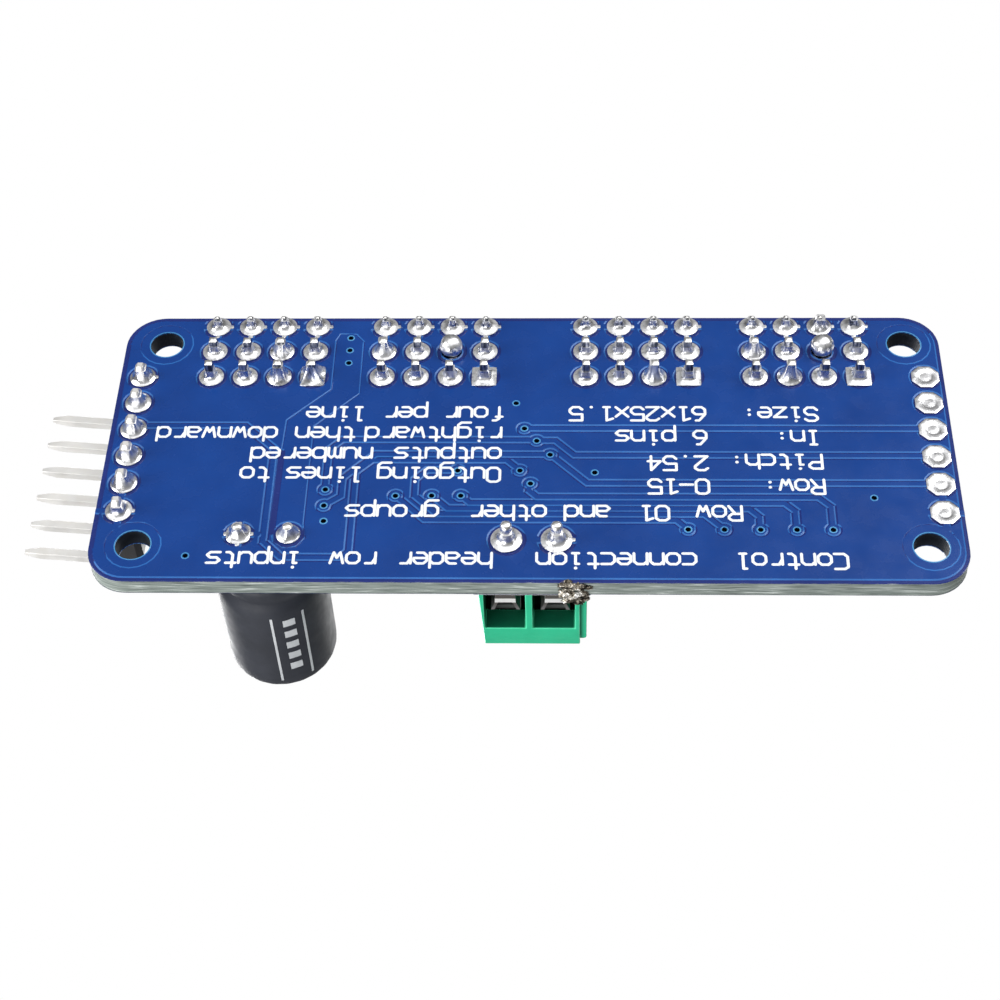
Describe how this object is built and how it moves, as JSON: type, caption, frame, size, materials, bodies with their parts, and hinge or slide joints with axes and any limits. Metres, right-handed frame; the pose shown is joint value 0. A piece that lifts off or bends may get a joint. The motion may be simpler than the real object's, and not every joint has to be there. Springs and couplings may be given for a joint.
{
  "type": "servo driver board",
  "caption": "Slim blue circuit board with rows of three-pin servo headers, a bent control header, a tall capacitor and a green screw terminal with rising clamps.",
  "frame": {"origin": "centre of the four mounting holes, on the solder-side face of the board", "axes": "+X along the board, away from the bent control header; +Y towards the edge with the screw terminal; +Z out of the component side"},
  "size_m": [0.0673, 0.0252, 0.0153],
  "materials": {
    "solder_mask": "glossy blue mask over copper",
    "header_yellow": "moulded, slightly satin",
    "header_red": "moulded, slightly satin",
    "header_black": "moulded, slightly satin",
    "tinned_pin": "bright tin plate and solder",
    "terminal_green": "moulded, slightly satin",
    "screw_steel": "zinc plated, turned",
    "clamp_nickel": "nickel plated, stamped",
    "can_aluminium": "drawn, satin",
    "sleeve_black": "shrunk sleeve, soft gloss",
    "seal_rubber": "matt",
    "foil_winding": "wound foil and paper, matt",
    "epoxy_black": "moulded, matt",
    "resistor_black": "glazed top, matt ends",
    "ceramic_tan": "matt",
    "light_lens": "clear moulded lens"
  },
  "bodies": {
    "board": {"pcb": "solder_mask", "servo_strip_a_signal": "header_yellow", "servo_pins_a_signal": "tinned_pin", "servo_strip_a_supply": "header_red", "servo_pins_a_supply": "tinned_pin", "servo_strip_a_ground": "header_black", "servo_pins_a_ground": "tinned_pin", "servo_strip_b_signal": "header_yellow", "servo_pins_b_signal": "tinned_pin", "servo_strip_b_supply": "header_red", "servo_pins_b_supply": "tinned_pin", "servo_strip_b_ground": "header_black", "servo_pins_b_ground": "tinned_pin", "servo_strip_c_signal": "header_yellow", "servo_pins_c_signal": "tinned_pin", "servo_strip_c_supply": "header_red", "servo_pins_c_supply": "tinned_pin", "servo_strip_c_ground": "header_black", "servo_pins_c_ground": "tinned_pin", "servo_strip_d_signal": "header_yellow", "servo_pins_d_signal": "tinned_pin", "servo_strip_d_supply": "header_red", "servo_pins_d_supply": "tinned_pin", "servo_strip_d_ground": "header_black", "servo_pins_d_ground": "tinned_pin", "control_header_base": "header_black", "control_pin_1": "tinned_pin", "control_pin_2": "tinned_pin", "control_pin_3": "tinned_pin", "control_pin_4": "tinned_pin", "control_pin_5": "tinned_pin", "control_pin_6": "tinned_pin", "terminal_housing": "terminal_green", "terminal_contact_1": "tinned_pin", "terminal_contact_2": "tinned_pin", "capacitor_can": "can_aluminium", "capacitor_sleeve": "sleeve_black", "capacitor_seal": "seal_rubber", "capacitor_winding": "foil_winding", "capacitor_lead_minus": "tinned_pin", "capacitor_lead_plus": "tinned_pin", "driver_chip_body": "epoxy_black", "driver_chip_leads_front": "tinned_pin", "driver_chip_leads_back": "tinned_pin", "output_resistor_array_1": "resistor_black", "output_resistor_array_2": "resistor_black", "output_resistor_array_3": "resistor_black", "output_resistor_array_4": "resistor_black", "address_resistor_array_1": "resistor_black", "address_resistor_array_2": "resistor_black", "reverse_guard_transistor": "epoxy_black", "power_light": "light_lens", "light_resistor": "resistor_black", "enable_resistor": "resistor_black", "ceramic_capacitor_1": "ceramic_tan", "ceramic_capacitor_2": "ceramic_tan"},
    "screw_1": {"terminal_screw_1": "screw_steel"},
    "screw_2": {"terminal_screw_2": "screw_steel"},
    "clamp_1": {"wire_clamp_1": "clamp_nickel"},
    "clamp_2": {"wire_clamp_2": "clamp_nickel"}
  },
  "joints": [
    {"name": "screw_1_turn", "type": "hinge", "parent": "board", "child": "screw_1", "pos_m": [-0.0017, 0.00896, 0.00845], "axis": [0, 0, 1], "range_deg": [-1440, 0]},
    {"name": "clamp_1_lift", "type": "slide", "parent": "board", "child": "clamp_1", "axis": [0, 0, 1], "range_m": [0, 0.0014]},
    {"name": "screw_2_turn", "type": "hinge", "parent": "board", "child": "screw_2", "pos_m": [0.0018, 0.00896, 0.00845], "axis": [0, 0, 1], "range_deg": [-1440, 0]},
    {"name": "clamp_2_lift", "type": "slide", "parent": "board", "child": "clamp_2", "axis": [0, 0, 1], "range_m": [0, 0.0014]}
  ],
  "couplings": [
    {"joint": "screw_1_turn", "follows": "clamp_1_lift", "rad_per_m": -17952},
    {"joint": "screw_2_turn", "follows": "clamp_2_lift", "rad_per_m": -17952}
  ]
}
